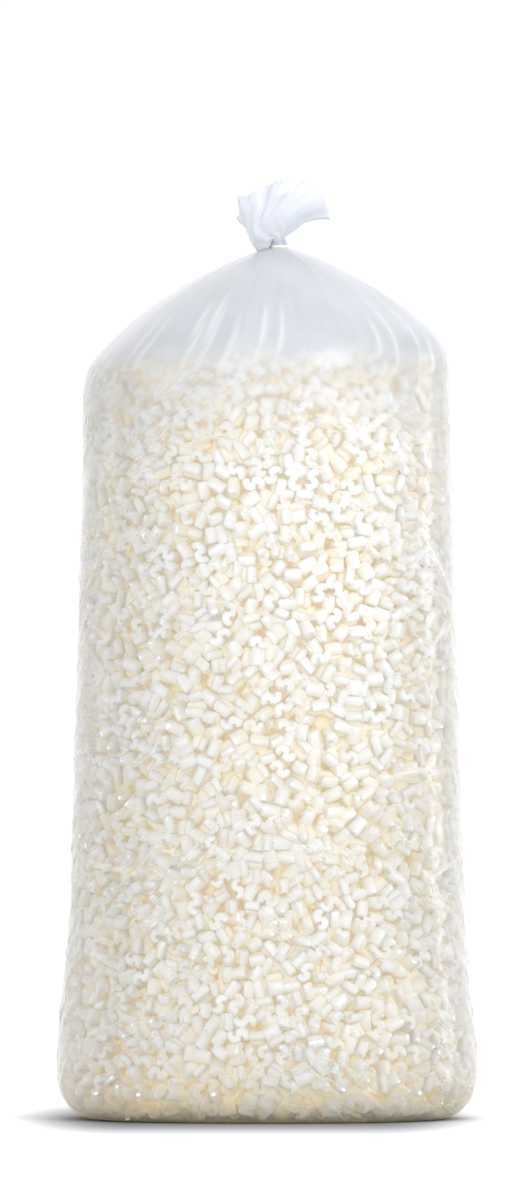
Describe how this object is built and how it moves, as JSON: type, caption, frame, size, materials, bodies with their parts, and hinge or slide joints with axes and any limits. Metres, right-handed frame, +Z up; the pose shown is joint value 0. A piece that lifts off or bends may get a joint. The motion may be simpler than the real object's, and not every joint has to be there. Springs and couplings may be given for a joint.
{
  "type": "packing peanut bag",
  "caption": "Tall clear film bag full of white S-shaped foam loose fill, gathered and tied at the neck with a ruffled tail, standing on its flat base.",
  "frame": {"origin": "on the floor, at the middle of the base's bounding box", "axes": "+Z up from the base to the tied neck, +X to the right and -Y out of the front, as the picture shows it"},
  "size_m": [0.6854, 0.6436, 1.5278],
  "materials": {
    "clear_film": "clear, slightly milky polyethylene film with a soft gloss",
    "expanded_foam": "matt white expanded foam, warm in the gaps",
    "coated_tie": "white coated twist tie"
  },
  "bodies": {
    "root": {"film_bag": "clear_film", "neck_tie": "coated_tie", "peanut_fill": "expanded_foam", "peanut_01": "expanded_foam", "peanut_02": "expanded_foam", "peanut_03": "expanded_foam", "peanut_04": "expanded_foam", "peanut_05": "expanded_foam", "peanut_06": "expanded_foam", "peanut_07": "expanded_foam", "peanut_08": "expanded_foam", "peanut_09": "expanded_foam", "peanut_10": "expanded_foam", "peanut_11": "expanded_foam", "peanut_12": "expanded_foam", "peanut_13": "expanded_foam", "peanut_14": "expanded_foam", "peanut_15": "expanded_foam", "peanut_16": "expanded_foam", "peanut_17": "expanded_foam", "peanut_18": "expanded_foam", "peanut_19": "expanded_foam", "peanut_20": "expanded_foam", "peanut_21": "expanded_foam", "peanut_22": "expanded_foam", "peanut_23": "expanded_foam", "peanut_24": "expanded_foam", "peanut_25": "expanded_foam", "peanut_26": "expanded_foam", "peanut_27": "expanded_foam", "peanut_28": "expanded_foam", "peanut_29": "expanded_foam", "peanut_30": "expanded_foam"}
  },
  "joints": []
}
